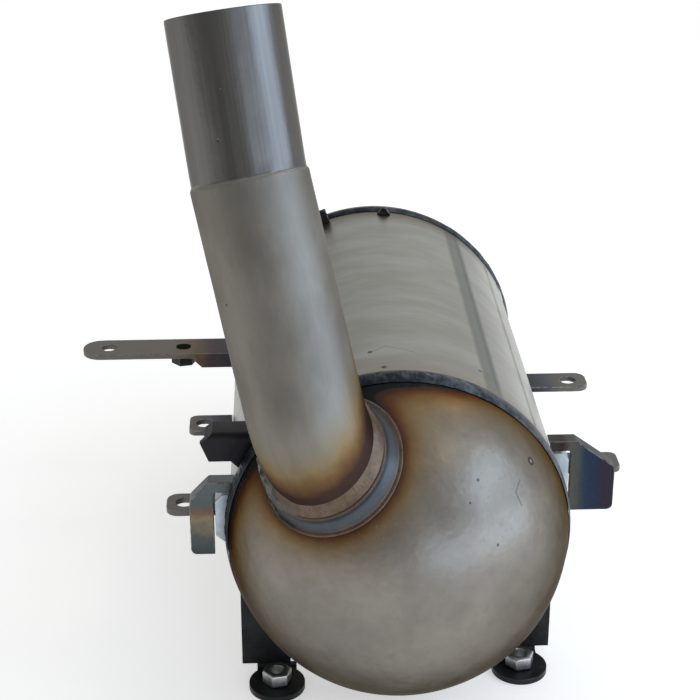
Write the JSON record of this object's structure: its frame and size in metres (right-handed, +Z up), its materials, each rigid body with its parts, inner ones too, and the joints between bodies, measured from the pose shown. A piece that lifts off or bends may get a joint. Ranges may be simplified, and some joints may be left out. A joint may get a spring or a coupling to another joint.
{
  "type": "diesel particulate filter",
  "caption": "Steel exhaust filter canister with a domed outlet end, a bent outlet pipe, a ceramic block inside, side brackets and an inlet clamp flange.",
  "frame": {"origin": "middle of the bounding box seen from above, on the surface that the two feet stand on", "axes": "+Y along the canister from the outlet dome to the inlet flange, +X to the right as seen from the dome end, +Z up"},
  "size_m": [0.292, 0.3946, 0.3453],
  "materials": {
    "shell_steel": "brushed round the canister",
    "dome_steel": "satin, heat tinted",
    "pipe_steel": "drawn along its length, heat tinted",
    "weld_metal": "rippled, dark blue-grey",
    "straw_metal": "rippled, straw coloured",
    "dark_bracket": "black scale, worn at the edges",
    "tinted_bracket": "satin, blue and gold heat tint",
    "grey_bracket": "satin, dull grey",
    "zinc_nut": "bright plated",
    "ceramic": "matt, porous",
    "mat_fibre": "matt fibre"
  },
  "bodies": {
    "root": {"arm_nut": "dark_bracket", "canister_shell": "shell_steel", "collar_weld_bead": "straw_metal", "filter_substrate": "ceramic", "front_dome": "dome_steel", "front_retaining_ring": "shell_steel", "front_weld_bead": "weld_metal", "inlet_flange": "pipe_steel", "inlet_neck": "pipe_steel", "inlet_weld_bead": "weld_metal", "left_arm": "grey_bracket", "left_block_bracket": "tinted_bracket", "left_block_pad": "tinted_bracket", "left_foot": "dark_bracket", "left_foot_nut": "zinc_nut", "left_lug": "grey_bracket", "left_small_lug": "grey_bracket", "outlet_collar": "weld_metal", "outlet_pipe": "pipe_steel", "pipe_weld_bead": "straw_metal", "rear_cone": "shell_steel", "rear_pip": "dark_bracket", "rear_retaining_ring": "shell_steel", "rear_tab": "dark_bracket", "rear_weld_bead": "weld_metal", "right_block_bracket": "dark_bracket", "right_block_pad": "tinted_bracket", "right_foot": "dark_bracket", "right_foot_nut": "zinc_nut", "right_small_lug": "grey_bracket", "right_strap": "grey_bracket", "support_mat": "mat_fibre", "upper_angle_bracket": "dark_bracket"}
  },
  "joints": []
}
